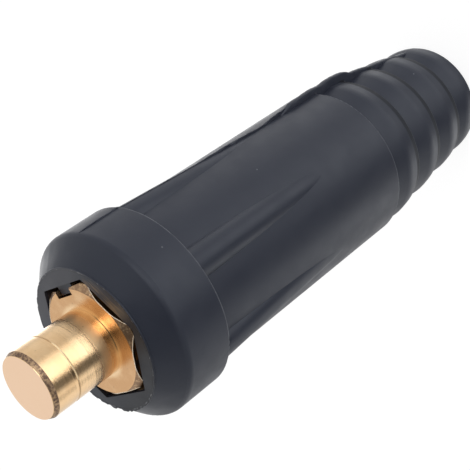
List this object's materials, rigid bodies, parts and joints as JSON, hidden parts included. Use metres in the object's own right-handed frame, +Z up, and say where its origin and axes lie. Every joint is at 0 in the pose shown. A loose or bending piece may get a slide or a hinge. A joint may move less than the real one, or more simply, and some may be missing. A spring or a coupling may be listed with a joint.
{
  "type": "welding cable plug",
  "caption": "Bayonet plug for a welding cable: a brass pin with a locking lug on a hexagonal contact body, in a rubber sleeve with finger ribs and a stepped, ringed tail.",
  "frame": {"origin": "centre of the tail's end face, which the plug stands on", "axes": "+Z up the plug's axis, from the cable end to the tip of the pin; -Y faces the picture's camera"},
  "size_m": [0.0364, 0.0364, 0.1185],
  "materials": {
    "rubber": "semi-matt moulded rubber, dark blue-grey",
    "brass": "bright turned brass",
    "screw_steel": "zinc-plated steel"
  },
  "bodies": {
    "plug": {"rubber_sleeve": "rubber", "brass_contact": "brass"},
    "rear_screw": {"clamp_screw_rear": "screw_steel"},
    "front_screw": {"clamp_screw_front": "screw_steel"}
  },
  "joints": [
    {"name": "rear_screw_travel", "type": "slide", "parent": "plug", "child": "rear_screw", "axis": [0.9816, -0.1908, 0], "range_m": [0, 0.0035]},
    {"name": "front_screw_travel", "type": "slide", "parent": "plug", "child": "front_screw", "axis": [0.9816, -0.1908, 0], "range_m": [0, 0.0035]}
  ]
}
